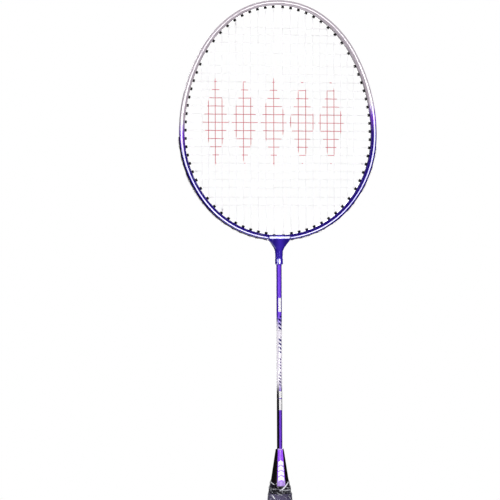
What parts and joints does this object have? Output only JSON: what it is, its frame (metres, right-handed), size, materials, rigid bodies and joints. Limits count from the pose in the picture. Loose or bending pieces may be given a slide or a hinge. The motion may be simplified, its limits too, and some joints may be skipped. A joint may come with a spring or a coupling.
{
  "type": "badminton racket",
  "caption": "Badminton racket: hollow oval head with woven strings in grommets, on a slim tube shaft, with a tapered cap and a tape-wrapped octagonal handle under clear film.",
  "frame": {"origin": "centre of the butt cap's flat end face", "axes": "+Z along the shaft from the butt to the tip of the head, +X across the head, -Y is the front face"},
  "size_m": [0.207, 0.0274, 0.67],
  "materials": {
    "head_paint": "gloss lacquer, pearl white at the top fading to indigo",
    "joint_paint": "gloss indigo lacquer",
    "shaft_paint": "gloss lacquer, violet, white and black bands",
    "cap_plastic": "gloss black with a violet front panel",
    "core_wood": "bare turned wood",
    "grip": "soft polyurethane wrap, matt",
    "tape": "satin adhesive tape",
    "film": "clear wrinkled film",
    "string": "white nylon string",
    "grommet": "black moulded nylon"
  },
  "bodies": {
    "root": {"head_frame": "head_paint", "t_joint": "joint_paint", "shaft": "shaft_paint", "cone_cap": "cap_plastic", "handle_core": "core_wood", "butt_cap": "cap_plastic", "grip_tape": "grip", "finishing_tape": "tape", "grip_film": "film", "main_string": "string", "cross_string": "string", "string_knots": "string", "grommets_upper_left": "grommet", "grommets_upper_right": "grommet", "grommets_lower_left": "grommet", "grommets_lower_right": "grommet", "grommets_throat": "grommet"}
  },
  "joints": []
}
